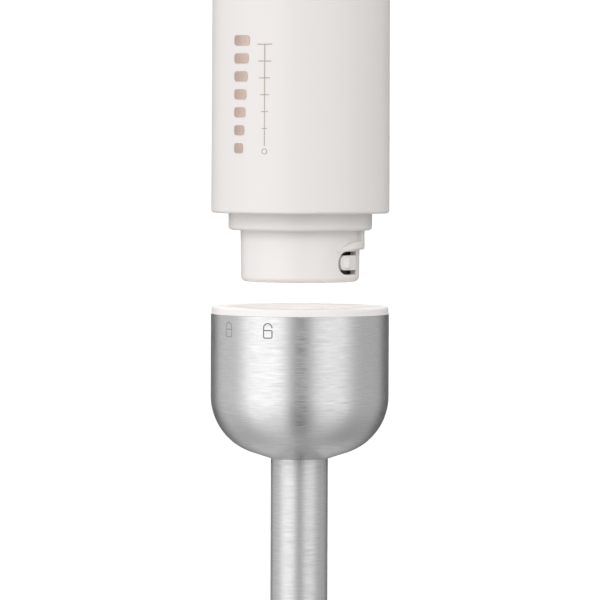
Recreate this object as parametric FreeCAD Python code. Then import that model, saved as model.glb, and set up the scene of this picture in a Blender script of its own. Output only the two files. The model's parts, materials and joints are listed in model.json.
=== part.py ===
"""Immersion blender with a detachable blending shaft, modelled as the parts it comes apart into.

Millimetres, +Z up along the blender's axis, -Y the side with the buttons. The origin is the
centre of the hand grip on that axis. The shaft is shown pulled off: it hangs under the handle,
turned to its unlocked position, and travels up by SEPARATION to seat in the handle.

Heights on the handle are measured up from its lower face with up(). Depths on the shaft are
measured down from the top of its collar with down(). Angles go anticlockwise seen from above,
from 0 at the front.
"""

import FreeCAD, Part

import math
import os

V = FreeCAD.Vector
AXIS = V(0, 0, 1)
CENTRE = V(0, 0, 0)
TAU = 2 * math.pi

# ---------------------------------------------------------------- driving dimensions
BODY_D = 62.4  # handle and steel cup
TUBE_D = 20.0
GRIP_HEIGHT = 115.0  # from the handle's lower face to the origin
SEPARATION = 32.7  # how far the shaft hangs below its seat
TWIST = 30.0  # bayonet turn from unlocked to locked

BODY_R = BODY_D / 2
TUBE_R = TUBE_D / 2
GAP = 0.1  # between parts that are fitted to each other
SLIP = 0.3  # between parts that slide past each other

# handle barrel
BARREL_H = 172.0
BARREL_TOP_R = BODY_R - 0.35  # moulding draft
BARREL_BORE_R = BODY_R - 2.5
BARREL_EDGE = 1.0
CHASSIS_R = BARREL_BORE_R - 0.4  # what slides into the barrel
LEDGE_R = 26.5
LEDGE_LOW, LEDGE_HIGH = 3.1, 5.0

# top end
TRIM_H = 3.0
CAP_H = 23.0
CAP_LOW = BARREL_H + TRIM_H
CAP_HIGH = CAP_LOW + CAP_H
CAP_ROUND = 7.5
SPIGOT_R = BARREL_BORE_R - 0.2
DIAL_R = 20.6
DIAL_LOW = CAP_HIGH - 2.1
DIAL_HIGH = CAP_HIGH + 6.4
DIAL_STEM_R = 4.9
POT_SHAFT_R = 3.0
INLET_R = 5.5
INLET_HEIGHT = 184.9

# controls, on the front
PANEL_W, PANEL_H, PANEL_MID = 27.0, 67.0, 120.0
PANEL_BACK_R = 28.8
PANEL_FACE_R = BODY_R + 0.15
BUTTON_FACE_R = BODY_R + 1.3
BUTTON_TRAVEL = 1.5
BUTTON_W = 16.6
POWER_H, POWER_MID = 27.0, 133.5
TURBO_H, TURBO_MID = 19.0, 105.0

# plug on the handle's lower end
FLANGE_R, FLANGE_H = 25.15, 6.0
NECK_R, NECK_END_R, NECK_H = 20.9, 20.65, 18.0
NECK_BORE_R = 18.6
PLUG_H = FLANGE_H + NECK_H
WEB_TOP, WEB_LOW = -5.5, -8.0
RIB_R = NECK_R + 2.0
RIB_TOP, RIB_LOW = 9.9, 12.7  # below the handle's lower face
RIB_TIP, RIB_START = 73.2, 77.5  # degrees: thin leading tip, foot of the ramp
RIB_STOP, RIB_END = 107.0, 115.0
RIB_TIP_R = 21.1  # thin enough for the lugs to pass
SECOND_RIB = 155.0  # the other rib's place round from the first
LUG_SPAN = 13.8  # degrees

# snap tongue in the neck
TONGUE_LOW, TONGUE_HIGH = -19.7, -14.6
SLOT_LOW, SLOT_HIGH = -21.3, -13.25
TONGUE_OUT_R, TONGUE_IN_R = 20.78, 19.4
TONGUE_PIVOT_R, TONGUE_PIVOT_ANGLE = 20.1, 104.5
BUMP_ANGLE = 87.2

# shaft
RING_R, RING_H = 31.0, 2.7
SOCKET_MOUTH_R, SOCKET_R = 25.4, 23.2
SOCKET_LEDGE, SOCKET_FLOOR = 6.35, 26.0
CUP_WALL = 0.7
CUP_STRAIGHT = 31.4  # depth where the cup's side starts to curve in
CUP_ROUND = 20.8
CUP_CONE = 18.0  # degrees
TUBE_WALL = 0.8
BELL_R, BELL_TOP, BELL_RIM = 32.0, 163.0, 213.0
BELL_WALL = 1.0
PORT_W, PORT_H = 18.0, 10.0
BLADE_DEPTH = 199.0
BLADE_REACH = 23.5
BLADE_THICK = 1.3

# drive line
SHAFT_R = 3.0
RUNNING = 0.04
HEX_FLATS = 7.6
HEX_PLAY = 0.2
SOCKET_POINT_TURN = 30.0

LOWER_FACE = -GRIP_HEIGHT
COLLAR_TOP = LOWER_FACE - SEPARATION


def up(height):
    """Z of a height above the handle's lower face."""
    return LOWER_FACE + height


def down(depth):
    """Z of a depth below the top of the shaft's collar."""
    return COLLAR_TOP - depth


def at(angle, radius, z):
    """A point at an angle round from the front."""
    a = math.radians(angle)
    return V(radius * math.sin(a), -radius * math.cos(a), z)


# ---------------------------------------------------------------- shape helpers
def rounded_edges(corners):
    """Edges of a closed outline. A corner is (point, fillet radius)."""
    edges = []
    starts, ends = [], []
    count = len(corners)
    arcs = []
    for i, (point, fillet) in enumerate(corners):
        before = corners[i - 1][0]
        after = corners[(i + 1) % count][0]
        if not fillet:
            starts.append(point)
            ends.append(point)
            arcs.append(None)
            continue
        a = (before - point).normalize()
        b = (after - point).normalize()
        half = a.getAngle(b) / 2
        reach = fillet / math.tan(half)
        middle = (a + b).normalize()
        centre = point + middle * (fillet / math.sin(half))
        starts.append(point + a * reach)
        ends.append(point + b * reach)
        arcs.append(Part.Arc(starts[-1], centre - middle * fillet, ends[-1]).toShape())
    for i in range(count):
        if arcs[i]:
            edges.append(arcs[i])
        following = starts[(i + 1) % count]
        if ends[i].distanceToPoint(following) > 1e-6:
            edges.append(Part.makeLine(ends[i], following))
    return edges


def outline(corners):
    return Part.Face(Part.Wire(rounded_edges(corners)))


def lathe(place, *corners):
    """A turned solid. A corner is (radius, height or depth) or that with a fillet radius.
    place is up or down."""
    points = [(V(c[0], 0, place(c[1])), c[2] if len(c) > 2 else 0) for c in corners]
    return outline(points).revolve(CENTRE, AXIS, 360)


def disc(radius, low, high):
    """A cylinder on the axis, between two z."""
    return Part.makeCylinder(radius, high - low, V(0, 0, low))


def ring(inner, outer, low, high):
    return disc(outer, low, high).cut(disc(inner, low, high))


def sector(inner, outer, low, high, start, end):
    """Part of a ring, between two angles."""
    corners = [at(start, r, z) for r, z in ((inner, low), (outer, low), (outer, high), (inner, high))]
    face = Part.Face(Part.makePolygon(corners + corners[:1]))
    return face.revolve(CENTRE, AXIS, end - start)


def post(angle, radius, size, low, high):
    """A vertical cylinder away from the axis."""
    return Part.makeCylinder(size, high - low, at(angle, radius, low))


def block(x0, x1, y0, y1, z0, z1):
    return Part.makeBox(x1 - x0, y1 - y0, z1 - z0, V(x0, y0, z0))


def stadium(width, height, middle_z, y0, y1, corner=None):
    """A prism along Y with a rounded outline: an upright slot unless corner is smaller."""
    x, z = width / 2, height / 2
    corner = min(x, z) if corner is None else corner
    points = [
        (V(-x, y0, middle_z - z), corner),
        (V(x, y0, middle_z - z), corner),
        (V(x, y0, middle_z + z), corner),
        (V(-x, y0, middle_z + z), corner),
    ]
    return outline(points).extrude(V(0, y1 - y0, 0))


def hexagon(flats, low, high, turn=0.0):
    radius = flats / math.sqrt(3)
    corners = [at(turn + 60 * i, radius, low) for i in range(7)]
    return Part.Face(Part.makePolygon(corners)).extrude(V(0, 0, high - low))


def fuse(first, *others):
    return first.multiFuse(list(others)).removeSplitter()


def cut(first, *others):
    for other in others:
        first = first.cut(other)
    return first


def round_about(shape, angle):
    turned = shape.copy()
    turned.rotate(CENTRE, AXIS, angle)
    return turned


def coil_spring(radius, wire, length, turns, start, direction):
    """A helical spring of twelve-sided wire, from a point along a direction."""
    helix = Part.makeHelix(length / turns, length, radius)
    along = V(0, 1, length / (TAU * radius * turns)).normalize()
    out = V(1, 0, 0)
    side = along.cross(out)
    corners = []
    for i in range(12):
        a = TAU * (i + 0.5) / 12
        corners.append(out * (radius + wire / 2 * math.cos(a)) + side * (wire / 2 * math.sin(a)))
    section = Part.makePolygon(corners + corners[:1])
    spring = Part.Wire(helix).makePipeShell([section], True, True)
    spring.Placement = FreeCAD.Placement(start, FreeCAD.Rotation(AXIS, direction))
    return spring


def screw(angle, radius, head_z, length, rising, shank=1.25, head=2.9, thickness=1.9):
    """A pan-head screw. Its head's bearing face is at head_z and its shank rises or falls."""
    way = 1 if rising else -1
    base = at(angle, radius, head_z)
    down_way = V(0, 0, -way)
    head_solid = Part.makeCylinder(head, thickness, base, down_way)
    top_edges = [e for e in head_solid.Edges if abs(e.CenterOfMass.z - head_z) > thickness * 0.9]
    head_solid = head_solid.makeFillet(0.7, top_edges)
    shank_solid = Part.makeCylinder(shank, length, base, V(0, 0, way))
    far = base + down_way * (thickness + 0.01)
    bars = [
        Part.makeBox(head * 1.1, 0.7, 1.0, far - V(head * 0.55, 0.35, 0.5)),
        Part.makeBox(0.7, head * 1.1, 1.0, far - V(0.35, head * 0.55, 0.5)),
    ]
    return cut(fuse(head_solid, shank_solid), *bars)


# ---------------------------------------------------------------- handle casing
def handle_barrel():
    shell = lathe(
        up,
        (BARREL_BORE_R, 0),
        (BODY_R, 0, BARREL_EDGE),
        (BARREL_TOP_R, BARREL_H),
        (BARREL_BORE_R, BARREL_H),
        (BARREL_BORE_R, LEDGE_HIGH),
        (LEDGE_R, LEDGE_HIGH),
        (LEDGE_R, LEDGE_LOW),
        (BARREL_BORE_R, LEDGE_LOW),
    )
    opening = stadium(PANEL_W + 2 * GAP, PANEL_H + 2 * GAP, up(PANEL_MID), -40, -20)
    vents = [
        stadium(24, 2.2, up(height), 20, 40)
        for height in [*(14 + 4.4 * i for i in range(4)), *(112 + 4.8 * i for i in range(8))]
    ]
    return cut(shell, opening, *vents)


def trim_ring():
    return lathe(
        up,
        (SPIGOT_R - 1.6, BARREL_H - 2),
        (SPIGOT_R, BARREL_H - 2),
        (SPIGOT_R, BARREL_H),
        (BARREL_TOP_R + 0.15, BARREL_H, 0.4),
        (BARREL_TOP_R + 0.15, CAP_LOW, 0.4),
        (SPIGOT_R, CAP_LOW),
        (SPIGOT_R, CAP_LOW + 2),
        (SPIGOT_R - 1.6, CAP_LOW + 2),
    )


def inlet_bore(radius, y0, y1):
    return Part.makeCylinder(radius, y1 - y0, V(0, y0, up(INLET_HEIGHT)), V(0, 1, 0))


def top_cap():
    well_r = DIAL_R + 0.6
    shell = lathe(
        up,
        (SPIGOT_R + 0.1, CAP_LOW),
        (BARREL_TOP_R, CAP_LOW),
        (BARREL_TOP_R, CAP_HIGH, CAP_ROUND),
        (well_r, CAP_HIGH, 0.6),
        (well_r, CAP_HIGH - 2.5),
        (DIAL_STEM_R + SLIP, CAP_HIGH - 2.5),
        (DIAL_STEM_R + SLIP, CAP_HIGH - 5),
        (22.5, CAP_HIGH - 5),
        (SPIGOT_R + 0.1, CAP_HIGH - 9.5),
    )
    collar = inlet_bore(7.6, 24, BODY_R + 1.0)
    screw_posts = [post(a, 21.5, 3.2, up(168.1), up(CAP_HIGH - 4.8)) for a in (125, 235)]
    clamp_posts = [post(a, 18.0, 3.0, up(180.2), up(CAP_HIGH - 4.8)) for a in (148, 212)]
    body = fuse(shell, collar, *screw_posts, *clamp_posts)
    pilots = [post(a, 21.5, 1.25, up(168), up(182)) for a in (125, 235)]
    clamp_pilots = [post(a, 18.0, 1.25, up(180), up(189)) for a in (148, 212)]
    return cut(body, inlet_bore(INLET_R, 20, 40), *pilots, *clamp_pilots)


def cap_screws():
    return [screw(a, 21.5, up(165.0), 15, True) for a in (125, 235)]


def cord_clamp():
    x = 18.0 * math.sin(math.radians(32)) + 3.6
    y = 18.0 * math.cos(math.radians(32))
    bar = block(-x, x, y - 3.6, y + 3.6, up(176.6), up(180.0))
    ridge = Part.makeCylinder(2.0, 10, V(-5, y, up(179.6)), V(1, 0, 0))
    holes = [post(a, 18.0, 1.4, up(176), up(181)) for a in (148, 212)]
    return cut(fuse(bar, ridge), *holes)


def cord_clamp_screws():
    return [screw(a, 18.0, up(176.6), 11, True, head=2.4) for a in (148, 212)]


# ---------------------------------------------------------------- dial and buttons
def speed_dial():
    knob = lathe(
        up,
        (0, DIAL_HIGH - 0.6),
        (14.5, DIAL_HIGH - 0.6, 1.5),
        (16.0, DIAL_HIGH, 0.8),
        (DIAL_R - 0.2, DIAL_HIGH, 1.4),
        (DIAL_R, DIAL_LOW),
        (DIAL_R - 2.2, DIAL_LOW),
        (DIAL_R - 2.2, DIAL_HIGH - 3.4),
        (DIAL_STEM_R, DIAL_HIGH - 3.4),
        (DIAL_STEM_R, 187),
        (POT_SHAFT_R, 187),
        (POT_SHAFT_R, DIAL_HIGH - 4.4),
        (0, DIAL_HIGH - 4.4),
    )
    count = 40
    low, high = up(DIAL_LOW - 1), up(DIAL_HIGH - 1.6)
    flutes = [post(360 / count * i, DIAL_R + 0.55, 0.95, low, high) for i in range(count)]
    return cut(knob, Part.makeCompound(flutes))


def potentiometer_shaft():
    return disc(POT_SHAFT_R, up(180), up(DIAL_HIGH - 4.4))


def potentiometer():
    body = block(-8, 8, -8, 8, up(178.5), up(184.5))
    bush = disc(4.4, up(184.5), up(186.4))
    return cut(fuse(body, bush), disc(POT_SHAFT_R + RUNNING, up(179.9), up(190)))


def potentiometer_board():
    board = block(-14, 14, -12, 10.5, up(176.9), up(178.5))
    pillars = [post(a, 16.0, 1.5, up(168.1), up(176.9)) for a in (45, 315)]
    return fuse(board, *pillars)


def control_panel():
    plate = stadium(PANEL_W, PANEL_H, up(PANEL_MID), -40, -20)
    curved = ring(PANEL_BACK_R, PANEL_FACE_R, up(PANEL_MID - PANEL_H), up(PANEL_MID + PANEL_H))
    power = stadium(BUTTON_W + 2 * SLIP, POWER_H + 2 * SLIP, up(POWER_MID), -40, -20)
    turbo = stadium(BUTTON_W + 2 * SLIP, TURBO_H + 2 * SLIP, up(TURBO_MID), -40, -20)
    return cut(plate.common(curved), power, turbo)


def push_button(height, middle, stem_end):
    """A button cap with a lip behind the panel and a stem that reaches its switch."""
    low, high = up(middle - height), up(middle + height)
    face = stadium(BUTTON_W, height, up(middle), -40, -20).common(ring(26.9, BUTTON_FACE_R, low, high))
    lip = stadium(BUTTON_W + 2.8, height + 2.6, up(middle), -40, -20)
    lip = lip.common(ring(26.9, PANEL_BACK_R - 0.2, low, high))
    stem = Part.makeCylinder(2.6, 27.4 + stem_end, V(0, -27.4, up(middle)), V(0, 1, 0))
    return fuse(face, lip, stem)


def button_spring(middle):
    return coil_spring(3.9, 0.5, 5.6, 5, V(0, -26.3, up(middle)), V(0, 1, 0))


# ---------------------------------------------------------------- chassis and electronics
BOARD_FRONT, BOARD_BACK = -11.0, -9.4
SWITCH_FACE = -17.0


def inner_chassis():
    lower = ring(12, CHASSIS_R, up(97), up(99.5)).cut(block(-15, 15, -30, -21, up(96), up(100)))
    upper = cut(disc(CHASSIS_R, up(165), up(168)), disc(15, up(164), up(169)))
    rails = []
    for side in (-1, 1):
        x0, x1 = sorted((side * 21.5, side * 25.5))
        rail = block(x0, x1, -14, 6, up(99.5), up(165))
        groove_x = sorted((side * 21.4, side * 23.2))
        groove = block(*groove_x, BOARD_FRONT - 0.05, BOARD_BACK + 0.05, up(99), up(166))
        rails.append(rail.cut(groove))
    shelf = block(-21.5, 21.5, -20.5, -19.3, up(99.5), up(146))
    shelf_holes = [
        Part.makeCylinder(3.2, 4, V(0, -22, up(middle)), V(0, 1, 0))
        for middle in (POWER_MID, TURBO_MID)
    ]
    braces = [block(*sorted((s * 20.2, s * 21.5)), -20.5, -13, up(100), up(146)) for s in (-1, 1)]
    screw_holes = [post(a, 21.5, 1.5, up(164), up(169)) for a in (125, 235)]
    body = fuse(lower, upper, *rails, shelf, *braces).common(disc(CHASSIS_R, up(90), up(170)))
    return cut(body, *shelf_holes, *screw_holes)


def circuit_board():
    return block(-23, 23, BOARD_FRONT, BOARD_BACK, up(100), up(160))


def microswitches():
    made = []
    for middle in (POWER_MID, TURBO_MID):
        case = block(-6.5, 6.5, SWITCH_FACE, BOARD_FRONT, up(middle - 3.2), up(middle + 3.2))
        plunger = Part.makeCylinder(1.2, 0.6, V(0, SWITCH_FACE - 0.5, up(middle)), V(0, 1, 0))
        made.append(fuse(case, plunger))
    return made


def suppression_capacitor():
    can = block(-9, 9, BOARD_BACK, 0.4, up(104), up(118))
    return can.makeFillet(1.2, [e for e in can.Edges if e.CenterOfMass.y > 0.3])


def heat_sink():
    base = block(-16, 4, BOARD_BACK, -7.4, up(122), up(150))
    fins = [block(x, x + 1.4, -7.5, 4, up(122), up(150)) for x in (-16, -11.35, -6.7, -2.05, 2.6)]
    return fuse(base, *fins)


def triac():
    body = block(8, 18, BOARD_BACK, -4.9, up(128), up(137))
    tab = block(8, 18, BOARD_BACK, -8.1, up(137), up(144))
    hole = Part.makeCylinder(1.8, 4, V(13, -10, up(140.5)), V(0, 1, 0))
    return cut(fuse(body, tab), hole)


def terminal_block():
    body = block(-12, 12, BOARD_BACK, -0.4, up(152), up(159))
    wells = [
        Part.makeCylinder(1.7, 4, V(x, -5, up(156)), AXIS)
        for x in (-8, 0, 8)
    ]
    return cut(body, *wells)


# ---------------------------------------------------------------- motor
STACK_LOW, STACK_HIGH = 30.0, 60.0
BOLT_R = 24.0
FRAME_LOW = 6.5


def motor_isolator():
    return ring(LEDGE_R + 0.1, 28.4, up(LEDGE_HIGH), up(FRAME_LOW))


def lower_end_frame():
    plate = disc(28.4, up(FRAME_LOW), up(FRAME_LOW + 3))
    hub = disc(12, up(0.6), up(FRAME_LOW))
    neck_posts = [post(a, 13.8, 3.0, up(WEB_TOP), up(FRAME_LOW)) for a in (0, 120, 240)]
    bolt_posts = [post(a, BOLT_R, 3.0, up(FRAME_LOW + 3), up(STACK_LOW)) for a in (90, 270)]
    body = fuse(plate, hub, *neck_posts, *bolt_posts)
    seat = disc(9.5, up(2), up(8))
    way = disc(7.5, up(-1), up(12))
    pilots = [post(a, 13.8, 1.25, up(WEB_TOP - 1), up(5)) for a in (0, 120, 240)]
    bolt_holes = [post(a, BOLT_R, 1.6, up(FRAME_LOW + 1), up(STACK_LOW)) for a in (90, 270)]
    windows = [sector(15.5, 24.5, up(6), up(10), a - 24, a + 24) for a in (35, 145, 215, 325)]
    return cut(body, seat, way, *pilots, *bolt_holes, *windows)


def lower_bearing():
    outer = ring(7.9, 9.5, up(2), up(8))
    inner = ring(SHAFT_R + RUNNING, 4.8, up(2), up(8))
    balls = [Part.makeSphere(1.5, at(45 * i, 6.35, up(5))) for i in range(8)]
    return [outer, inner, *balls]


def motor_seal():
    """Felt washer that keeps splashes out of the lower bearing."""
    return ring(SHAFT_R + RUNNING, 7.5, up(0.7), up(1.95))


def stator_core():
    plates = disc(26.5, up(STACK_LOW), up(STACK_HIGH))
    plates = plates.common(block(-27, 27, -23.5, 23.5, up(STACK_LOW), up(STACK_HIGH)))
    bore = disc(15.3, up(20), up(70))
    slots = [sector(15, 21.3, up(20), up(70), a - 42, a + 42) for a in (90, 270)]
    holes = [post(a, BOLT_R, 1.6, up(20), up(70)) for a in (90, 270)]
    return cut(plates, bore, *slots, *holes)


def field_coils():
    coils = []
    for middle in (0, 180):
        saddle = sector(16, 21.0, up(24), up(66), middle - 62, middle + 62)
        opening = sector(15, 22, up(STACK_LOW - 0.3), up(STACK_HIGH + 0.3), middle - 49, middle + 49)
        coils.append(saddle.cut(opening))
    return coils


def upper_end_frame():
    plate = disc(CHASSIS_R, up(84), up(87))
    hub = disc(9, up(87), up(95))
    bolt_posts = [post(a, BOLT_R, 3.0, up(STACK_HIGH), up(84)) for a in (90, 270)]
    spacers = [post(a, 25.0, 2.6, up(87), up(97)) for a in (45, 135, 225, 315)]
    brackets = [block(-6, 6, *sorted((s * 14, s * 25)), up(80.7), up(84)) for s in (-1, 1)]
    body = fuse(plate, hub, *bolt_posts, *spacers, *brackets)
    bore = disc(6, up(88), up(95))
    way = disc(4, up(83), up(89))
    bolt_holes = [post(a, BOLT_R, 1.6, up(STACK_HIGH), up(88)) for a in (90, 270)]
    windows = [sector(12.5, 21.5, up(83), up(88), a - 20, a + 20) for a in (45, 135, 225, 315)]
    return cut(body, bore, way, *bolt_holes, *windows)


def upper_bush():
    return ring(SHAFT_R + RUNNING, 6, up(88), up(94))


def through_bolts():
    length = 87 - (FRAME_LOW + 1)
    return [screw(a, BOLT_R, up(87), length, False, shank=1.6, head=2.8) for a in (90, 270)]


def brush_holders():
    made = []
    for side in (-1, 1):
        near, far = side * 12.5, side * 25
        tube = block(-3.6, 3.6, *sorted((near, far)), up(71.9), up(80.7))
        way = block(-3.05, 3.05, *sorted((near - side, far - side * 0.6)), up(72.5), up(80.1))
        made.append(tube.cut(way))
    return made


COMMUTATOR_R = 10.0


def carbon_brushes():
    made = []
    for side in (-1, 1):
        brush = block(-3, 3, *sorted((side * 9.2, side * 19.5)), up(72.55), up(80.05))
        made.append(brush.cut(disc(COMMUTATOR_R + 0.05, up(70), up(84))))
    return made


def brush_springs():
    return [coil_spring(2.2, 0.45, 4.2, 4, V(0, s * 19.8, up(76.3)), V(0, s, 0)) for s in (-1, 1)]


def motor_shaft():
    return disc(SHAFT_R, up(-9.5), up(94.4))


def armature_core():
    core = ring(SHAFT_R, 14.7, up(STACK_LOW - 0.5), up(STACK_HIGH + 0.5))
    slots = []
    for i in range(12):
        mouth = block(-0.8, 0.8, -16, -12.5, up(20), up(70))
        well = Part.makeCylinder(1.7, 50, V(0, -11.2, up(20)))
        slots += [round_about(mouth, 30 * i), round_about(well, 30 * i)]
    return cut(core, Part.makeCompound(slots))


def armature_windings():
    low = lathe(up, (4.2, 22), (13.2, 22, 3), (13.8, 29.5), (4.2, 29.5))
    high = lathe(up, (4.2, 60.5), (13.8, 60.5), (13.2, 68, 3), (4.2, 68))
    return [low, high]


def commutator():
    riser = ring(SHAFT_R, COMMUTATOR_R + 1, up(70), up(71.6))
    body = ring(SHAFT_R, COMMUTATOR_R, up(70), up(82)).fuse(riser)
    groove = block(-0.25, 0.25, -12, -9.3, up(69), up(83))
    return cut(body, Part.makeCompound([round_about(groove, 15 * i) for i in range(24)]))


def cooling_fan():
    hub = ring(SHAFT_R, 7, up(10.2), up(19))
    back = ring(SHAFT_R, 20.5, up(18), up(19.2))
    blades = []
    for i in range(11):
        blade = block(-0.6, 0.6, -20.4, -6.5, up(10.8), up(18.4))
        blade.rotate(V(0, -6.5, 0), AXIS, 24)
        blades.append(round_about(blade, 360 / 11 * i))
    return fuse(hub, back, *blades)


def drive_coupling():
    outline_corners = (0, -19), (7.0, -19, 0.8), (7.0, -6.6, 0.6), (5.0, -6.6), (5.0, 0.3), (0, 0.3)
    body = lathe(up, *outline_corners)
    flats = HEX_FLATS + HEX_PLAY
    points = [hexagon(flats, up(-19.5), up(-10.8), turn) for turn in (0, SOCKET_POINT_TURN)]
    lead_in = Part.makeCone(5.6, 4.4, 1.2, V(0, 0, up(-19.01)))
    return cut(body, *points, lead_in, disc(SHAFT_R, up(-9.5), up(1)))


# ---------------------------------------------------------------- plug on the handle
def eased(share):
    """A smooth step from 0 to 1."""
    share = min(1.0, max(0.0, share))
    return share * share * (3 - 2 * share)


def bayonet_rib():
    """An L: a ramp that rises to a level track, ending in a stop that joins the flange."""
    ramp_top = 95.0
    sections = []
    for i in range(15):
        angle = RIB_END + (RIB_TIP - RIB_END) * i / 14
        fall = eased((ramp_top - angle) / (ramp_top - RIB_TIP))
        shrink = eased((ramp_top - angle) / (ramp_top - RIB_START))
        top = -RIB_TOP - 2.5 * fall
        low = -RIB_LOW - 0.75 * fall
        out = RIB_R - (RIB_R - RIB_TIP_R) * shrink
        big, small = 0.45 * (out - 20.7), 0.15 * (out - 20.7)
        profile = [(20.0, low)]
        for r, z, turn in ((big, low + big, -90), (small, top - small, 0)):
            for step in range(5):
                a = math.radians(turn + 22.5 * step)
                profile.append((out - r + r * math.cos(a), z + r * math.sin(a)))
        profile.append((20.0, top))
        corners = [at(angle, r, up(z)) for r, z in profile]
        sections.append(Part.makePolygon(corners + corners[:1]))
    track = Part.makeLoft(sections, True, False)
    stop = sector(20.0, RIB_R - 0.02, up(-RIB_LOW + 1.3), up(-FLANGE_H + 0.5), RIB_STOP, RIB_END)
    upright = [e for e in stop.Edges if abs(e.Vertexes[0].Z - e.Vertexes[-1].Z) > 3]
    outer = [e for e in upright if math.hypot(e.CenterOfMass.x, e.CenterOfMass.y) > 22]
    stop = stop.makeFillet(0.35, outer)
    return fuse(track, stop)


def tongue_pivot(radius, low, high):
    return post(TONGUE_PIVOT_ANGLE, TONGUE_PIVOT_R, radius, low, high)


def tongue_outline(reach, low, high, corner):
    """A prism along X over the tongue, from its free end to the pivot's plane."""
    end = at(TONGUE_PIVOT_ANGLE, TONGUE_PIVOT_R, 0).y
    points = [
        (V(15, -reach, low), corner),
        (V(15, end, low), 0),
        (V(15, end, high), 0),
        (V(15, -reach, high), corner),
    ]
    return outline(points).extrude(V(12, 0, 0))


def coupling_neck():
    body = lathe(
        up,
        (9, WEB_LOW),
        (NECK_BORE_R, WEB_LOW, 0.8),
        (NECK_BORE_R, -PLUG_H),
        (NECK_END_R, -PLUG_H, 1.9),
        (NECK_R, -FLANGE_H, 0.25),
        (FLANGE_R, -FLANGE_H, 1.3),
        (FLANGE_R, 0.3),
        (BARREL_BORE_R - GAP, 0.3),
        (BARREL_BORE_R - GAP, LEDGE_LOW - 0.1),
        (22.6, LEDGE_LOW - 0.1),
        (22.6, WEB_TOP),
        (9, WEB_TOP),
    )
    ribs = [round_about(bayonet_rib(), turn) for turn in (0, SECOND_RIB)]
    body = fuse(body, *ribs)
    slot = tongue_outline(5.45, up(SLOT_LOW), up(SLOT_HIGH), 3.9)
    groove = tongue_pivot(0.74, up(TONGUE_LOW - 0.05), up(TONGUE_HIGH + 0.05))
    holes = [post(a, 13.8, 1.5, up(-10), up(-4)) for a in (0, 120, 240)]
    return cut(body, slot, groove, *holes)


def detent_tongue():
    blade = ring(TONGUE_IN_R, TONGUE_OUT_R, up(TONGUE_LOW), up(TONGUE_HIGH))
    blade = blade.common(tongue_outline(4.35, up(TONGUE_LOW), up(TONGUE_HIGH), 2.0))
    barrel = tongue_pivot(0.69, up(TONGUE_LOW), up(TONGUE_HIGH))
    bump_low, bump_high = up(TONGUE_LOW + 0.55), up(TONGUE_HIGH - 0.55)
    bump = post(BUMP_ANGLE, 19.6, 2.2, bump_low, bump_high)
    bump = bump.makeFillet(0.7, bump.Edges[:1] + bump.Edges[2:3])
    bump = bump.cut(disc(TONGUE_IN_R + 0.3, up(-25), up(0)))
    return fuse(blade, barrel, bump)


def neck_screws():
    return [screw(a, 13.8, up(WEB_LOW), 11.5, True) for a in (0, 120, 240)]


# ---------------------------------------------------------------- shaft housing
def socket_gasket():
    return lathe(down, (23.75, 6.05, 0.3), (24.95, 6.05, 0.3), (24.95, 7.2), (23.75, 7.2))


def socket_collar():
    body = lathe(
        down,
        (SOCKET_MOUTH_R, 0, 0.5),
        (RING_R, 0, 0.9),
        (RING_R, RING_H - 0.05),
        (BODY_R - CUP_WALL - 0.05, RING_H - 0.05),
        (BODY_R - CUP_WALL - 0.05, 12),
        (28.6, 12),
        (28.6, 4.6),
        (27.2, 4.6),
        (27.2, 8.4),
        (25.0, 8.4),
        (25.0, 28.5),
        (8.2, 28.5),
        (8.2, 31),
        (5.0, 31),
        (5.0, 22),
        (8.2, 22, 0.5),
        (8.2, SOCKET_FLOOR, 0.6),
        (SOCKET_R, SOCKET_FLOOR, 1.0),
        (SOCKET_R, SOCKET_LEDGE),
        (23.7, SOCKET_LEDGE),
        (23.7, 7.25),
        (25.0, 7.25),
        (25.0, SOCKET_LEDGE),
        (SOCKET_MOUTH_R, SOCKET_LEDGE),
    )
    lug_end = RIB_START - 0.9
    made = []
    for turn in (0, SECOND_RIB):
        lug = sector(21.3, 23.5, down(9.6), down(7.3), lug_end - LUG_SPAN, lug_end)
        lug_top = sector(21.3, 23.4, down(7.4), down(SOCKET_LEDGE), lug_end - LUG_SPAN, lug_end)
        ridge = sector(21.4, 23.5, down(18.8), down(15.5), lug_end - LUG_SPAN, lug_end - LUG_SPAN + 3)
        made += [round_about(s, turn) for s in (lug, lug_top, ridge)]
    skirt_r = BODY_R - CUP_WALL - 0.05
    webs = [sector(24.8, skirt_r, down(12), down(8.3), a - 1.5, a + 1.5) for a in range(15, 360, 45)]
    return fuse(body, *made, *webs)


def cup_corner(offset):
    """Where the cup's curve meets its cone, for the outer face or one set in by offset."""
    turn = math.radians(90 - CUP_CONE)
    radius = CUP_ROUND - offset
    centre_r = BODY_R - CUP_ROUND
    return centre_r + radius * math.cos(turn), CUP_STRAIGHT + radius * math.sin(turn)


def cup_depth(offset):
    """Depth of the cone where it meets the tube."""
    r, depth = cup_corner(offset)
    return depth + (r - TUBE_R) * math.tan(math.radians(CUP_CONE))


def cup_curve(offset):
    turn = math.radians((90 - CUP_CONE) / 2)
    radius = CUP_ROUND - offset
    centre_r = BODY_R - CUP_ROUND
    r, depth = cup_corner(offset)
    start = V(BODY_R - offset, 0, down(CUP_STRAIGHT))
    middle = V(centre_r + radius * math.cos(turn), 0, down(CUP_STRAIGHT + radius * math.sin(turn)))
    return start, Part.Arc(start, middle, V(r, 0, down(depth))).toShape(), V(r, 0, down(depth))


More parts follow.
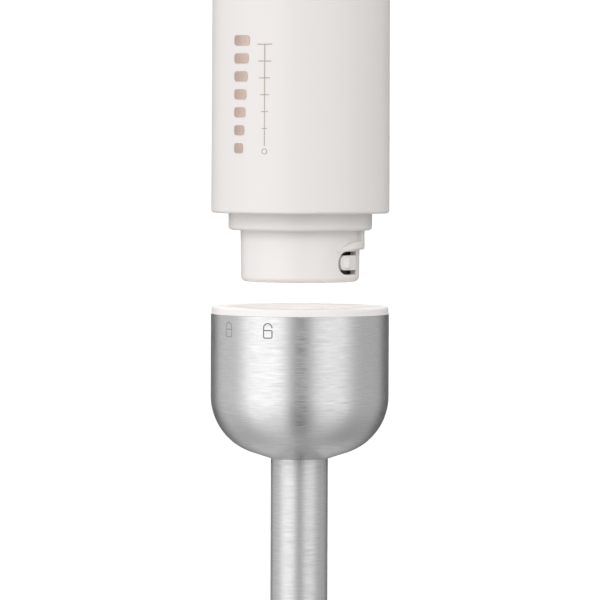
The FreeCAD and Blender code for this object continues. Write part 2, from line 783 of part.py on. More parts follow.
def steel_cup():
    outer_start, outer_arc, outer_end = cup_curve(0)
    inner_start, inner_arc, inner_end = cup_curve(CUP_WALL)
    rim_out = V(BODY_R, 0, down(RING_H))
    rim_in = V(BODY_R - CUP_WALL, 0, down(RING_H))
    foot_out = V(TUBE_R, 0, down(cup_depth(0)))
    foot_in = V(TUBE_R, 0, down(cup_depth(CUP_WALL)))
    edges = [
        Part.makeLine(rim_in, rim_out),
        Part.makeLine(rim_out, outer_start),
        outer_arc,
        Part.makeLine(outer_end, foot_out),
        Part.makeLine(foot_out, foot_in),
        Part.makeLine(foot_in, inner_end),
        inner_arc,
        Part.makeLine(inner_start, rim_in),
    ]
    return Part.Face(Part.Wire(edges)).revolve(CENTRE, AXIS, 360)


def shaft_tube():
    return ring(TUBE_R - TUBE_WALL, TUBE_R, down(BELL_TOP + 6), down(cup_depth(CUP_WALL) - 2))


def blade_guard():
    outer = lathe(
        down,
        (0, BELL_TOP),
        (TUBE_R + 0.9, BELL_TOP, 0.4),
        (TUBE_R + 1.5, BELL_TOP + 5.5, 7),
        (29.2, 182, 9),
        (BELL_R, BELL_RIM),
        (0, BELL_RIM),
    )
    inner = lathe(
        down,
        (0, 171.5),
        (13.0, 171.5, 3),
        (28.2, 182.9, 8),
        (BELL_R - BELL_WALL - 0.3, BELL_RIM - 3.0),
        (BELL_R - BELL_WALL - 0.8, BELL_RIM + 1),
        (0, BELL_RIM + 1),
    )
    bore = disc(TUBE_R, down(172), down(BELL_TOP - 1))
    ports = []
    for turn in (0, 90, 180, 270):
        arch = stadium(PORT_W, 2 * PORT_H, down(BELL_RIM), -40, -20, corner=7.5)
        ports.append(round_about(arch, turn))
    return cut(outer, inner, bore, *ports)


def upper_spindle_bush():
    return ring(SHAFT_R + RUNNING, 5.0, down(30), down(22))


def lower_bearing_housing():
    return lathe(
        down,
        (5.0, 150),
        (TUBE_R - TUBE_WALL, 150),
        (TUBE_R - TUBE_WALL, 169.2),
        (TUBE_R, 169.2),
        (TUBE_R, 171.5),
        (12.0, 171.5),
        (12.0, 173.0),
        (9.4, 181, 0.8),
        (7.5, 181),
        (7.5, 173.2),
        (5.0, 173.2),
    )


def lower_spindle_bush():
    return ring(SHAFT_R + RUNNING, 5.0, down(172.5), down(152))


def spindle_seal():
    return lathe(
        down,
        (SHAFT_R + RUNNING, 174.4),
        (7.5, 174.4),
        (7.5, 179),
        (6.3, 179),
        (6.3, 175.8, 0.4),
        (4.4, 175.8, 0.4),
        (4.0, 178.4),
        (SHAFT_R + RUNNING, 178.4),
    )


def seal_retainer():
    return lathe(down, (4.2, 179.2), (7.5, 179.2), (7.5, 181.0), (4.2, 181.0, 0.5))


# ---------------------------------------------------------------- spindle and blade
def drive_spindle():
    rod = disc(SHAFT_R, down(206.5), down(13))
    tip = Part.makeCone(SHAFT_R, SHAFT_R - 0.8, 0.8, V(0, 0, down(206.5)), V(0, 0, -1))
    groove = ring(SHAFT_R - 0.4, SHAFT_R + 1, down(32.3), down(31.4))
    return fuse(rod, tip).cut(groove)


def driven_coupling():
    hexed = hexagon(HEX_FLATS, down(20.2), down(11.5))
    top = Part.makeCone(4.7, 3.4, 1.3, V(0, 0, down(12.8)))
    body = disc(5, down(20.2), down(12.8)).fuse(top)
    hexed = hexed.common(body)
    collar = disc(5.6, down(21.6), down(20.0))
    return cut(fuse(hexed, collar), disc(SHAFT_R, down(22), down(13)))


def spindle_circlip():
    clip = ring(SHAFT_R - 0.4, 5.0, down(32.2), down(31.5))
    return clip.cut(block(-1.0, 1.0, 1.5, 6, down(33), down(31)))


def blade_spacer():
    return lathe(down, (SHAFT_R, 182.5), (5.4, 182.5, 0.6), (6.2, BLADE_DEPTH), (SHAFT_R, BLADE_DEPTH))


def blade_wing(tilt):
    """One wing, pointing to the front: bevelled along its leading edge and bent by tilt where
    it leaves the hub."""
    base = down(BLADE_DEPTH + BLADE_THICK)
    bend = -7.0
    tip = -BLADE_REACH
    root = block(-4.2, 4.2, bend, -3, base, base + BLADE_THICK)
    corners = [V(-4.2, bend, base), V(-3.0, tip, base), V(0.8, tip - 0.6, base), V(4.2, bend, base)]
    wing = Part.Face(Part.makePolygon(corners + corners[:1])).extrude(V(0, 0, BLADE_THICK))
    bevel = Part.makeBox(8, BLADE_REACH, 3, V(-8, tip - 3, 0))
    bevel.rotate(CENTRE, V(0, 1, 0), -24)
    bevel.translate(V(-2.2, -2.5, base + BLADE_THICK + 0.02))
    wing = wing.cut(bevel)
    wing.rotate(V(0, bend, base + BLADE_THICK / 2), V(1, 0, 0), tilt)
    knee = Part.makeCylinder(BLADE_THICK / 2, 8.4, V(-4.2, bend, base + BLADE_THICK / 2), V(1, 0, 0))
    return fuse(root, wing, knee)


def blade():
    hub = disc(6.6, down(BLADE_DEPTH + BLADE_THICK), down(BLADE_DEPTH))
    wings = [round_about(blade_wing(tilt), 90 * i) for i, tilt in enumerate((13, -7, 13, -7))]
    return cut(fuse(hub, *wings), disc(SHAFT_R, down(BLADE_DEPTH + 6), down(BLADE_DEPTH - 6)))


def blade_nut():
    low, high = down(BLADE_DEPTH + BLADE_THICK + 4), down(BLADE_DEPTH + BLADE_THICK)
    nut = hexagon(8.6, low, high)
    dome = Part.makeCone(4.2, 5.2, 1.2, V(0, 0, low)).fuse(disc(5.2, low + 1.2, high))
    return cut(nut.common(dome), disc(SHAFT_R, low - 1, high + 1))


NODES = {
    "handle_barrel": handle_barrel,
    "trim_ring": trim_ring,
    "top_cap": top_cap,
    "cap_screws": cap_screws,
    "cord_clamp": cord_clamp,
    "cord_clamp_screws": cord_clamp_screws,
    "speed_dial": speed_dial,
    "potentiometer_shaft": potentiometer_shaft,
    "potentiometer": potentiometer,
    "potentiometer_board": potentiometer_board,
    "control_panel": control_panel,
    "power_button": lambda: push_button(POWER_H, POWER_MID, SWITCH_FACE - 2.2),
    "turbo_button": lambda: push_button(TURBO_H, TURBO_MID, SWITCH_FACE - 2.2),
    "power_button_spring": lambda: button_spring(POWER_MID),
    "turbo_button_spring": lambda: button_spring(TURBO_MID),
    "inner_chassis": inner_chassis,
    "circuit_board": circuit_board,
    "microswitches": microswitches,
    "suppression_capacitor": suppression_capacitor,
    "heat_sink": heat_sink,
    "triac": triac,
    "terminal_block": terminal_block,
    "motor_isolator": motor_isolator,
    "lower_end_frame": lower_end_frame,
    "lower_bearing": lower_bearing,
    "motor_seal": motor_seal,
    "stator_core": stator_core,
    "field_coils": field_coils,
    "upper_end_frame": upper_end_frame,
    "upper_bush": upper_bush,
    "through_bolts": through_bolts,
    "brush_holders": brush_holders,
    "carbon_brushes": carbon_brushes,
    "brush_springs": brush_springs,
    "motor_shaft": motor_shaft,
    "armature_core": armature_core,
    "armature_windings": armature_windings,
    "commutator": commutator,
    "cooling_fan": cooling_fan,
    "drive_coupling": drive_coupling,
    "coupling_neck": coupling_neck,
    "detent_tongue": detent_tongue,
    "neck_screws": neck_screws,
    "socket_gasket": socket_gasket,
    "socket_collar": socket_collar,
    "steel_cup": steel_cup,
    "shaft_tube": shaft_tube,
    "blade_guard": blade_guard,
    "upper_spindle_bush": upper_spindle_bush,
    "lower_bearing_housing": lower_bearing_housing,
    "lower_spindle_bush": lower_spindle_bush,
    "spindle_seal": spindle_seal,
    "seal_retainer": seal_retainer,
    "drive_spindle": drive_spindle,
    "driven_coupling": driven_coupling,
    "spindle_circlip": spindle_circlip,
    "blade_spacer": blade_spacer,
    "blade": blade,
    "blade_nut": blade_nut,
}


def export(name, shape):
    solids = shape if isinstance(shape, list) else [shape]
    solids = [s for made in solids for s in made.Solids]
    made = solids[0] if len(solids) == 1 else Part.makeCompound(solids)
    volume = sum(s.Volume for s in solids)
    sound = all(s.isValid() and s.Volume > 0 for s in solids)
    print(f"{name:24s} solids {len(solids):3d} volume {volume:10.1f} {'' if sound else 'NOT SOUND'}")
    made.exportStep(f"parts/{name}.step")


os.makedirs("parts", exist_ok=True)
for node, make in NODES.items():
    export(node, make())
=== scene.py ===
import json
import math

import bmesh
import bpy
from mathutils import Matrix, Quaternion, Vector


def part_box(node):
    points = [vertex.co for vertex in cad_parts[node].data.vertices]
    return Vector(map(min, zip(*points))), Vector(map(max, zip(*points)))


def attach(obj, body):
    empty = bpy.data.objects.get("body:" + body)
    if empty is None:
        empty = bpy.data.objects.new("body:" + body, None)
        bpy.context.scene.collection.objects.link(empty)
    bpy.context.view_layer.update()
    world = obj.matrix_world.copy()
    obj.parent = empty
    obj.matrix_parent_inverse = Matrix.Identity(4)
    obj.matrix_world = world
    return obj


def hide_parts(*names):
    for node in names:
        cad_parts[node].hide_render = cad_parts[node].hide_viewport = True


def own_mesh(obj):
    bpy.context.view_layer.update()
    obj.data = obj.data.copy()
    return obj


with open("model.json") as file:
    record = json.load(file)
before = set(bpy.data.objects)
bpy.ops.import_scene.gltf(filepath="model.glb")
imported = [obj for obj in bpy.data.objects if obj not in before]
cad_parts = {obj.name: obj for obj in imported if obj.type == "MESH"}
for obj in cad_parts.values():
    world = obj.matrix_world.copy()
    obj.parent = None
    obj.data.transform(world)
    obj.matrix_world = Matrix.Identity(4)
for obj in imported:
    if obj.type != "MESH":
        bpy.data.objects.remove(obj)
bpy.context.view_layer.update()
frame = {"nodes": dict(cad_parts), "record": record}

MM = 0.001
TAU = 2 * math.pi
scene = bpy.context.scene
nodes = frame["nodes"]

# ---------------------------------------------------------------- places on the frame
HANDLE_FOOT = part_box("handle_barrel")[0].z
HANDLE_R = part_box("handle_barrel")[1].x
COLLAR_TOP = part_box("socket_collar")[1].z
CUP_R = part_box("steel_cup")[1].x
BELL_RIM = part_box("blade_guard")[0].z
CAMERA_SIDE = 35.0  # degrees round from the front, towards +X
CAMERA_RISE = 2.1
CAMERA_AWAY = 1.72
CAMERA_ROLL = 0.22
CAMERA_LENS = 294.5
AIM_BELOW_HANDLE = 30.58 * MM
PROUD = 0.02 * MM  # how far printing stands over its surface, and as far below
CROSSING = 0.021 * MM  # the same for a line that crosses another
AIM = Vector((0, 0, HANDLE_FOOT - AIM_BELOW_HANDLE))


def round_from_front(degrees, radius, z):
    a = math.radians(degrees)
    return Vector((radius * math.sin(a), -radius * math.cos(a), z))


# ---------------------------------------------------------------- node trees
class Shader:
    """A material whose colour, roughness and bump come from noise in the object's own space."""

    def __init__(self, name, color, roughness, metallic=0.0, **sockets):
        self.material = bpy.data.materials.new(name)
        self.material.use_nodes = True
        self.tree = self.material.node_tree
        self.bsdf = self.tree.nodes["Principled BSDF"]
        self.bsdf.inputs["Base Color"].default_value = (*color, 1)
        self.bsdf.inputs["Roughness"].default_value = roughness
        self.bsdf.inputs["Metallic"].default_value = metallic
        for socket, value in sockets.items():
            self.bsdf.inputs[socket.replace("_", " ")].default_value = value
        self.color = color
        self.height = None
        self.place = self.node("ShaderNodeTexCoord").outputs["Object"]

    def node(self, kind, **settings):
        made = self.tree.nodes.new(kind)
        for key, value in settings.items():
            setattr(made, key, value)
        return made

    def link(self, a, b):
        self.tree.links.new(a, b)

    def noise(self, scale, detail=2.0, rough=0.5):
        """Noise in the object's space. scale is per metre, one number or three."""
        mapping = self.node("ShaderNodeMapping")
        mapping.inputs["Scale"].default_value = scale if isinstance(scale, tuple) else (scale,) * 3
        self.link(self.place, mapping.inputs["Vector"])
        made = self.node("ShaderNodeTexNoise")
        made.inputs["Scale"].default_value = 1.0
        made.inputs["Detail"].default_value = detail
        made.inputs["Roughness"].default_value = rough
        self.link(mapping.outputs["Vector"], made.inputs["Vector"])
        return made.outputs["Fac"]

    def spread(self, source, low, high, from_low=0.3, from_high=0.7):
        made = self.node("ShaderNodeMapRange")
        made.inputs["From Min"].default_value = from_low
        made.inputs["From Max"].default_value = from_high
        made.inputs["To Min"].default_value = low
        made.inputs["To Max"].default_value = high
        self.link(source, made.inputs["Value"])
        return made.outputs["Result"]

    def vary_color(self, source, other, from_low=0.3, from_high=0.7):
        """The colour goes from the plain one to other as source rises."""
        ramp = self.node("ShaderNodeValToRGB")
        ramp.color_ramp.elements[0].position = from_low
        ramp.color_ramp.elements[0].color = (*self.color, 1)
        ramp.color_ramp.elements[1].position = from_high
        ramp.color_ramp.elements[1].color = (*other, 1)
        self.link(source, ramp.inputs["Fac"])
        self.link(ramp.outputs["Color"], self.bsdf.inputs["Base Color"])

    def vary_roughness(self, source, low, high):
        self.link(self.spread(source, low, high), self.bsdf.inputs["Roughness"])

    def bump(self, source, depth, strength=1.0):
        """Adds a bump of a depth in metres over what is there."""
        made = self.node("ShaderNodeBump")
        made.inputs["Strength"].default_value = strength
        made.inputs["Distance"].default_value = depth
        self.link(source, made.inputs["Height"])
        if self.height:
            self.link(self.height, made.inputs["Normal"])
        self.height = made.outputs["Normal"]
        self.link(self.height, self.bsdf.inputs["Normal"])


def shade(color, factor):
    return tuple(c * factor for c in color)


def plastic(name, color, roughness, grain=0.000004, mottle=0.985):
    """Moulded plastic: fine spark-eroded grain, faint flow marks and a slight wander in gloss."""
    made = Shader(name, color, roughness, IOR=1.48)
    fine = made.noise(2600, 3)
    broad = made.noise((28, 28, 9), 2)
    made.vary_color(broad, shade(color, mottle))
    made.vary_roughness(made.noise(70, 4), roughness - 0.03, roughness + 0.04)
    made.bump(broad, 0.00004, 0.25)
    made.bump(fine, grain)
    return made.material


def brushed(name, color, roughness, depth, aniso):
    """Steel brushed round the axis: lines of uneven length over a faint second, finer set."""
    made = Shader(name, color, roughness, 1.0, Anisotropic=aniso, Anisotropic_Rotation=0.25)
    tangent = made.node("ShaderNodeTangent", direction_type="RADIAL", axis="Z")
    made.link(tangent.outputs["Tangent"], made.bsdf.inputs["Tangent"])
    coarse = made.noise((190, 190, 3100), 3, 0.6)
    fine = made.noise((475, 475, 8060), 2)
    made.vary_color(coarse, shade(color, 0.89), 0.35, 0.75)
    made.vary_roughness(coarse, roughness - 0.10, roughness + 0.12)
    made.bump(coarse, depth)
    made.bump(fine, depth * 0.4)
    return made.material


def metal(name, color, roughness, grain=900, depth=0.000003):
    made = Shader(name, color, roughness, 1.0)
    made.vary_color(made.noise(140, 4), shade(color, 0.88))
    made.vary_roughness(made.noise(420, 3), roughness - 0.04, roughness + 0.07)
    made.bump(made.noise(grain, 3), depth)
    return made.material


def wound(name, color):
    """Enamelled wire: fine ridges wound over the coil."""
    made = Shader(name, color, 0.32, 0.9)
    wave = made.node("ShaderNodeTexWave", wave_type="RINGS", rings_direction="SPHERICAL")
    wave.inputs["Scale"].default_value = 420
    wave.inputs["Distortion"].default_value = 1.5
    made.link(made.place, wave.inputs["Vector"])
    made.vary_color(wave.outputs["Fac"], shade(color, 0.55), 0.1, 0.6)
    made.bump(wave.outputs["Fac"], 0.0001)
    return made.material


def stacked(name, color):
    """Laminations: thin plates stacked along the axis."""
    made = Shader(name, color, 0.45, 0.8)
    wave = made.node("ShaderNodeTexWave", wave_type="BANDS", bands_direction="Z")
    wave.inputs["Scale"].default_value = 330
    made.link(made.place, wave.inputs["Vector"])
    made.vary_color(wave.outputs["Fac"], shade(color, 0.6), 0.2, 0.8)
    made.bump(wave.outputs["Fac"], 0.00005)
    return made.material


WHITE = (0.81, 0.774, 0.752)
materials = {
    "body_white": plastic("body_white", WHITE, 0.40),
    "neck_white": plastic("neck_white", (0.815, 0.782, 0.76), 0.36),
    "ring_white": plastic("ring_white", (0.905, 0.867, 0.853), 0.36),
    "dial_white": plastic("dial_white", shade(WHITE, 0.97), 0.42),
    "button_white": plastic("button_white", (0.75, 0.735, 0.72), 0.55, grain=0.000008),
    "panel_grey": plastic("panel_grey", (0.65, 0.635, 0.62), 0.22, grain=0.000001),
    "rose_gold": metal("rose_gold", (0.78, 0.55, 0.46), 0.28),
    "brushed_stainless": brushed("brushed_stainless", (0.68, 0.68, 0.68), 0.42, 0.000006, 0.6),
    "polished_blade": metal("polished_blade", (0.74, 0.74, 0.75), 0.18),
    "bearing_steel": metal("bearing_steel", (0.66, 0.66, 0.67), 0.24),
    "spring_steel": metal("spring_steel", (0.48, 0.48, 0.5), 0.34),
    "zinc_steel": metal("zinc_steel", (0.62, 0.62, 0.6), 0.38),
    "lamination_steel": stacked("lamination_steel", (0.22, 0.22, 0.24)),
    "copper_wire": wound("copper_wire", (0.62, 0.24, 0.09)),
    "bronze": metal("bronze", (0.55, 0.38, 0.17), 0.42, 2400, 0.000008),
    "heat_sink_aluminium": metal("heat_sink_aluminium", (0.62, 0.63, 0.64), 0.42),
    "black_nylon": plastic("black_nylon", (0.022, 0.022, 0.024), 0.5, grain=0.000008),
    "chassis_plastic": plastic("chassis_plastic", (0.42, 0.42, 0.4), 0.5),
    "circuit_green": plastic("circuit_green", (0.02, 0.13, 0.055), 0.3, mottle=0.8),
    "capacitor_yellow": plastic("capacitor_yellow", (0.68, 0.45, 0.04), 0.35),
    "carbon": plastic("carbon", (0.03, 0.03, 0.03), 0.62, grain=0.00001),
    "black_rubber": plastic("black_rubber", (0.02, 0.02, 0.02), 0.62, grain=0.00001),
}
tube_steel = brushed("tube_stainless", (0.64, 0.64, 0.645), 0.5, 0.000005, 0.5)
own_finish = {"shaft_tube": tube_steel}
for row in frame["record"]["subparts"]:
    node = nodes[row["node"]]
    node.data.materials.clear()
    node.data.materials.append(own_finish.get(row["node"]) or materials[row["material_slot"]])

# printed marks
rose_print = metal("rose_print", (0.60, 0.47, 0.42), 0.42, 1600)
rose_line = metal("rose_line", (0.45, 0.365, 0.335), 0.45, 1600)
grey_print = plastic("grey_print", (0.17, 0.17, 0.175), 0.5)
pale_print = plastic("pale_print", (0.31, 0.31, 0.315), 0.5)


# ---------------------------------------------------------------- closed skins
def finished(name, bm, material, body, smooth=False):
    mesh = bpy.data.meshes.new(name)
    bm.to_mesh(mesh)
    bm.free()
    for polygon in mesh.polygons:
        polygon.use_smooth = smooth
    piece = bpy.data.objects.new(name, mesh)
    piece.data.materials.append(material)
    scene.collection.objects.link(piece)
    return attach(piece, body)


def skin(name, material, body, bm, rings, closed=False, smooth=False):
    """Joins rings of vertices into a tube. An open tube gets a face at each end."""
    count, sides = len(rings), len(rings[0])
    for i in range(count if closed else count - 1):
        a, b = rings[i], rings[(i + 1) % count]
        for j in range(sides):
            bm.faces.new((a[j], b[j], b[(j + 1) % sides], a[(j + 1) % sides]))
    if not closed:
        bm.faces.new(rings[0])
        bm.faces.new(rings[-1][::-1])
    bmesh.ops.recalc_face_normals(bm, faces=bm.faces)
    return finished(name, bm, material, body, smooth)


# ---------------------------------------------------------------- thin marks on round surfaces
def mark(name, material, body, columns, radius):
    """A thin skin on a round surface. columns are (degrees, low z, high z), left to right."""
    bm = bmesh.new()
    inner, outer = radius - PROUD, radius + PROUD
    rings = [
        [bm.verts.new(round_from_front(angle, r, z))
         for r, z in ((inner, low), (outer, low), (outer, high), (inner, high))]
        for angle, low, high in columns
    ]
    return skin(name, material, body, bm, rings)


def rounded_bar(angle, width, low, high, corner, radius, steps=7):
    """Columns of a bar with rounded corners, centred on an angle."""
    half = width / 2
    across = [-half + corner * (1 - math.cos(math.pi / 2 * i / steps)) for i in range(steps + 1)]
    middle = [across[-1] + (width - 2 * corner) * i / steps for i in range(1, steps)]
    across = across + middle + [-x for x in reversed(across)]
    columns = []
    for x in across:
        inset = max(0.0, abs(x) - (half - corner))
        drop = corner - math.sqrt(max(0.0, corner ** 2 - inset ** 2))
        columns.append((angle + math.degrees(x / radius), low + drop + 1e-6, high - drop - 1e-6))
    return columns


def stroke(name, material, body, points, width, radius, closed=False, proud=PROUD):
    """A line of even width drawn on a round surface. points are (metres round, z)."""
    count = len(points)
    bm = bmesh.new()
    rings = []
    for i, (u, v) in enumerate(points):
        before = points[i - 1] if closed or i else points[0]
        after = points[(i + 1) % count] if closed or i < count - 1 else points[-1]
        d = Vector((after[0] - before[0], after[1] - before[1])).normalized()
        side = Vector((-d.y, d.x)) * width / 2
        ring = []
        for s, r in ((-1, radius - proud), (-1, radius + proud), (1, radius + proud), (1, radius - proud)):
            angle = math.degrees((u + s * side.x) / radius)
            ring.append(bm.verts.new(round_from_front(angle, r, v + s * side.y)))
        rings.append(ring)
    return skin(name, material, body, bm, rings, closed)


def arc(cu, cv, radius, start, end, steps):
    return [
        (cu + radius * math.cos(math.radians(start + (end - start) * i / steps)),
         cv + radius * math.sin(math.radians(start + (end - start) * i / steps)))
        for i in range(steps + 1)
    ]


def padlock(name, ink, angle, locked):
    """A thin-line padlock on the steel cup, open or shut, centred on an angle."""
    u = math.radians(angle) * CUP_R
    low, top = COLLAR_TOP - 10.0 * MM, COLLAR_TOP - 5.0 * MM
    half, corner, line = 1.55 * MM, 0.45 * MM, 0.4 * MM
    middle = low + 2.6 * MM
    bend = 1.55 * MM
    path = arc(u + half - corner, low + corner, corner, 0, -90, 5)
    path += arc(u - half + corner, low + corner, corner, -90, -180, 5)
    path += arc(u, top - bend, bend, 180, 0, 16)
    if not locked:
        path = [(u + half, middle)] + path + [(u + half, top - bend - 0.05 * MM)]
    stroke(name, ink, "blending_shaft", path, line, CUP_R, closed=locked)
    bar = [(u - half, middle), (u - half / 3, middle), (u + half / 3, middle), (u + half, middle)]
    stroke(name + "_bar", ink, "blending_shaft", bar, line, CUP_R, proud=CROSSING)


padlock("padlock_open", grey_print, 14.2, False)
padlock("padlock_shut", pale_print, -17.2, True)

# a level mark of bars that grow upwards, and a hairline scale beside it
BARS = 7
BAR_TALL, BAR_PITCH, BAR_CORNER = 3.5 * MM, 6.2 * MM, 1.0 * MM
BAR_NARROW, BAR_WIDE = 4.3 * MM, 7.0 * MM
FIRST_BAR = HANDLE_FOOT + 20.9 * MM
BARS_LEFT = math.radians(-12.4) * HANDLE_R
for i in range(BARS):
    wide = BAR_NARROW + (BAR_WIDE - BAR_NARROW) * i / (BARS - 1)
    foot = FIRST_BAR + BAR_PITCH * i
    middle = math.degrees((BARS_LEFT + wide / 2) / HANDLE_R)
    columns = rounded_bar(middle, wide, foot, foot + BAR_TALL, BAR_CORNER, HANDLE_R)
    mark(f"level_bar_{i}", rose_print, "handle", columns, HANDLE_R)

HAIRLINE = 0.24 * MM
line_u = math.radians(11.4) * HANDLE_R
stroke("scale_line", rose_line, "handle",
       [(line_u, HANDLE_FOOT + z * MM) for z in (23.6, 30, 37, 44, 51, 58.5)], HAIRLINE, HANDLE_R)
for i in range(6):
    wide = (1.1 + 0.4 * i) * MM
    z = HANDLE_FOOT + (29.5 + 5.8 * i) * MM
    stroke(f"scale_tick_{i}", rose_line, "handle",
           [(line_u + wide * f, z) for f in (-0.9, -0.3, 0.3, 0.9)], HAIRLINE, HANDLE_R, proud=CROSSING)
stroke("scale_foot", rose_line, "handle",
       arc(line_u, HANDLE_FOOT + 21.6 * MM, 0.9 * MM, 0, 360, 24)[:-1], HAIRLINE, HANDLE_R, closed=True)

# signs on the buttons: on and off, and two chevrons for full speed
power_low, power_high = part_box("power_button")
turbo_low, turbo_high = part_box("turbo_button")
FACE_R = -power_low.y
power_z = (power_low.z + power_high.z) / 2
turbo_z = (turbo_low.z + turbo_high.z) / 2
SIGN_R, SIGN_LINE = 2.6 * MM, 0.5 * MM
stroke("power_sign_ring", grey_print, "power_button",
       arc(0, power_z, SIGN_R, 125, 415, 36), SIGN_LINE, FACE_R)
stroke("power_sign_bar", grey_print, "power_button",
       [(0, power_z + z * MM) for z in (0.2, 1.2, 2.2, 3.4)], SIGN_LINE, FACE_R)
for i in range(2):
    z = turbo_z + (-1.9 + 2.2 * i) * MM
    wings = [(f * SIGN_R, z + (1 - abs(f)) * 1.9 * MM) for f in (-1, -0.66, -0.33, 0, 0.33, 0.66, 1)]
    stroke(f"turbo_sign_{i}", grey_print, "turbo_button", wings, SIGN_LINE, FACE_R)


# ---------------------------------------------------------------- dial and its scale
def flat_mark(name, material, body, outline, z):
    """A thin closed skin on a level face. outline is a list of (x, y)."""
    bm = bmesh.new()
    low = [bm.verts.new((x, y, z - PROUD)) for x, y in outline]
    high = [bm.verts.new((x, y, z + PROUD)) for x, y in outline]
    bm.faces.new(low[::-1])
    bm.faces.new(high)
    for i in range(len(outline)):
        j = (i + 1) % len(outline)
        bm.faces.new((low[i], low[j], high[j], high[i]))
    bmesh.ops.recalc_face_normals(bm, faces=bm.faces)
    return finished(name, bm, material, body)


def wedge(angle, spread, inner, outer, steps=4):
    """A tick between two radii; spread is in degrees at each end of it."""
    points = []
    for radius, turns in ((inner, range(steps + 1)), (outer, range(steps, -1, -1))):
        for i in turns:
            p = round_from_front(angle + spread * (2 * i / steps - 1), radius, 0)
            points.append((p.x, p.y))
    return points


dial_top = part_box("speed_dial")[1].z
cap_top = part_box("top_cap")[1].z
flat_mark("dial_pointer", rose_print, "speed_dial", wedge(0, 2.3, 16.9 * MM, 18.9 * MM), dial_top)
SPEEDS = 10
for i in range(SPEEDS + 1):
    share = i / SPEEDS
    flat_mark(f"dial_tick_{i}", grey_print, "handle",
              wedge(270 * share, 0.5 + 0.9 * share, 21.95 * MM, (22.5 + 0.7 * share) * MM), cap_top)


# ---------------------------------------------------------------- springs that the buttons press, copied as they are onto the handle
for button in ("power_button", "turbo_button"):
    coil = nodes[button + "_spring"]
    spring = bpy.data.objects.new(button + "_coil", coil.data.copy())
    scene.collection.objects.link(spring)
    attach(spring, "handle")
    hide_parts(button + "_spring")
    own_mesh(spring)


# ---------------------------------------------------------------- painted shade: a dark liner behind the tongue's slot, where there is only shade
def turned(name, material, body, profile, segments=128):
    """A closed ring turned round the axis from its section. profile is a list of (radius, z)."""
    bm = bmesh.new()
    rings = [
        [bm.verts.new(round_from_front(360 * i / segments, r, z)) for r, z in profile]
        for i in range(segments)
    ]
    return skin(name, material, body, bm, rings, closed=True, smooth=True)


SLEEVE_LOW, SLEEVE_HIGH = HANDLE_FOOT - 22.6 * MM, HANDLE_FOOT - 8.05 * MM
SLEEVE_R, SLEEVE_BORE = 17.8 * MM, 17.0 * MM
# painted shade: a black nylon liner that only makes the slot look dark; in the real neck the slot is dark
# from shade, with no liner behind it
slot_shade = turned("slot_shade_liner", materials["black_nylon"], "handle", [
    (17.2 * MM, SLEEVE_LOW), (17.7 * MM, SLEEVE_LOW + 0.15 * MM), (SLEEVE_R, SLEEVE_LOW + 0.4 * MM),
    (SLEEVE_R, SLEEVE_HIGH), (SLEEVE_BORE, SLEEVE_HIGH), (SLEEVE_BORE, SLEEVE_LOW + 0.15 * MM),
])


# ---------------------------------------------------------------- stage: floor, lights, camera
def floor():
    """A wide pale floor just under the bell. Its underside is clear, for views from below."""
    bm = bmesh.new()
    bmesh.ops.create_grid(bm, x_segments=1, y_segments=1, size=200)
    mesh = bpy.data.meshes.new("floor")
    bm.to_mesh(mesh)
    bm.free()
    made = bpy.data.objects.new("floor", mesh)
    made.location.z = BELL_RIM - 0.2 * MM
    scene.collection.objects.link(made)
    paint = bpy.data.materials.new("floor")
    paint.use_nodes = True
    tree = paint.node_tree
    bsdf = tree.nodes["Principled BSDF"]
    bsdf.inputs["Base Color"].default_value = (0.8, 0.8, 0.8, 1)
    bsdf.inputs["Roughness"].default_value = 0.8
    bsdf.inputs["Emission Color"].default_value = (1, 1, 1, 1)
    bsdf.inputs["Emission Strength"].default_value = 0.22
    seen = tree.nodes.new("ShaderNodeNewGeometry")
    clear = tree.nodes.new("ShaderNodeBsdfTransparent")
    mix = tree.nodes.new("ShaderNodeMixShader")
    tree.links.new(seen.outputs["Backfacing"], mix.inputs["Fac"])
    tree.links.new(bsdf.outputs["BSDF"], mix.inputs[1])
    tree.links.new(clear.outputs["BSDF"], mix.inputs[2])
    tree.links.new(mix.outputs["Shader"], tree.nodes["Material Output"].inputs["Surface"])
    mesh.materials.append(paint)
    made.visible_glossy = False
    made.visible_diffuse = False


floor()


PANELS = [  # degrees round from the camera, to its right as it looks: start, end, softness, radiance
    (-79, -16, 9, 0.87),
    (-135, -15, 7, 0.66),
    (18, 68, 9, 0.72),
    (12, 131, 7, 0.49),
]
FILL = 0.10
UNDER_LOSS = 0.42  # share of the light lost towards the floor
HIGH_GAIN = 0.9  # share gained by what comes from above the panels' middle
BELOW, BEHIND, ABOVE, BROW = 1.0, 0.5, 2.2, 1.0
ZENITH_LOSS = 0.85  # share lost straight overhead
BACKDROP = 1.05


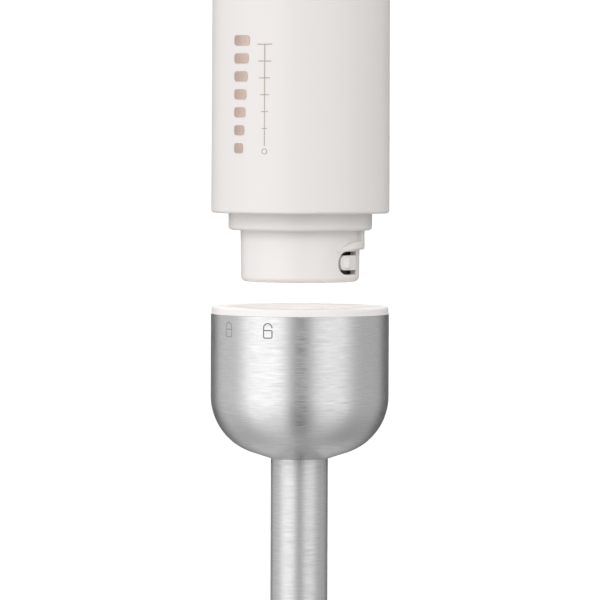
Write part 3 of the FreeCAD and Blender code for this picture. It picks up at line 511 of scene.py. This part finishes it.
def studio():
    """Soft panels standing round the object, with a narrow dark gap behind the camera. They fade
    towards the floor and overhead. Smaller lights stand low, level and high behind the object,
    and high over the camera (the brow). The camera itself sees plain white."""
    world = bpy.data.worlds.new("studio")
    scene.world = world
    world.use_nodes = True
    tree = world.node_tree
    tree.nodes.clear()

    def node(kind, inputs, **settings):
        made = tree.nodes.new(kind)
        for key, value in settings.items():
            setattr(made, key, value)
        for place, value in inputs.items():
            if isinstance(value, bpy.types.NodeSocket):
                tree.links.new(value, made.inputs[place])
            else:
                made.inputs[place].default_value = value
        return made.outputs[0]

    def maths(operation, *values):
        return node("ShaderNodeMath", dict(enumerate(values)), operation=operation)

    def step(source, low, high):
        inputs = {"Value": source, "From Min": low, "From Max": high}
        return node("ShaderNodeMapRange", inputs, interpolation_type="SMOOTHSTEP")

    def scaled(light, share, change):
        """The light times 1 + change where share is 1."""
        return maths("MULTIPLY", light, maths("MULTIPLY_ADD", share, change, 1.0))

    def added(light, share, radiance):
        return maths("ADD", light, maths("MULTIPLY", share, radiance))

    place = tree.nodes.new("ShaderNodeTexCoord").outputs["Generated"]
    turned_place = node("ShaderNodeVectorRotate", {"Vector": place, "Angle": -math.radians(CAMERA_SIDE)},
                        rotation_type="Z_AXIS")
    way = tree.nodes.new("ShaderNodeSeparateXYZ")
    tree.links.new(turned_place, way.inputs[0])
    rise = way.outputs["Z"]
    front = maths("MULTIPLY", way.outputs["Y"], -1.0)
    angle = maths("MULTIPLY", maths("ARCTAN2", way.outputs["X"], front), 360 / TAU)
    off = maths("ABSOLUTE", angle)

    light = None
    for start, end, soft, radiance in PANELS:
        begins = step(angle, start - soft, start + soft)
        ends = step(angle, end + soft, end - soft)
        panel = maths("MULTIPLY", maths("MULTIPLY", begins, ends), radiance)
        light = maths("ADD", panel, light if light else FILL)
    under = step(rise, -0.26, -0.82)
    light = scaled(light, under, -UNDER_LOSS)
    light = scaled(light, step(rise, 0.28, 0.75), HIGH_GAIN)
    light = added(light, maths("MULTIPLY", under, step(off, 118, 162)), BELOW)
    light = added(light, maths("MULTIPLY", step(off, 160, 172), step(rise, -0.02, 0.10)), BEHIND)
    light = added(light, maths("MULTIPLY", step(off, 112, 150), step(rise, 0.22, 0.50)), ABOVE)
    light = added(light, maths("MULTIPLY", step(off, 34, 14), step(rise, 0.12, 0.42)), BROW)
    light = scaled(light, step(rise, 0.60, 0.85), -ZENITH_LOSS)

    white = (1, 1, 1, 1)
    lit = node("ShaderNodeBackground", {"Color": white, "Strength": light})
    plain = node("ShaderNodeBackground", {"Color": white, "Strength": BACKDROP})
    rays = tree.nodes.new("ShaderNodeLightPath").outputs["Is Camera Ray"]
    seen = node("ShaderNodeMixShader", {0: rays, 1: lit, 2: plain})
    tree.links.new(seen, tree.nodes.new("ShaderNodeOutputWorld").inputs["Surface"])


studio()

# the shaft's mouth stands open close under the handle, so it has a small light of its own
MOUTH_R, MOUTH_RADIANCE = 12 * MM, 5.2
mouth = bpy.data.lights.new("mouth", "AREA")
mouth.shape = "DISK"
mouth.size = 2 * MOUTH_R
mouth.energy = MOUTH_RADIANCE * math.pi * math.pi * MOUTH_R ** 2
mouth_light = bpy.data.objects.new("mouth", mouth)
mouth_light.location.z = COLLAR_TOP + 5 * MM
mouth_light.visible_camera = False
mouth_light.visible_glossy = False
scene.collection.objects.link(mouth_light)

camera = bpy.data.objects.new("camera", bpy.data.cameras.new("camera"))
camera.data.sensor_width = 36
camera.data.lens = CAMERA_LENS
a, e = math.radians(CAMERA_SIDE), math.radians(CAMERA_RISE)
back = Vector((math.sin(a) * math.cos(e), -math.cos(a) * math.cos(e), math.sin(e)))
camera.location = AIM + back * CAMERA_AWAY
camera.rotation_mode = "QUATERNION"
tilt = Quaternion(back, math.radians(CAMERA_ROLL))
camera.rotation_quaternion = tilt @ (-back).to_track_quat("-Z", "Y")
camera.data.clip_start, camera.data.clip_end = 0.1, 400
scene.collection.objects.link(camera)
scene.camera = camera
scene.view_settings.view_transform = "Standard"
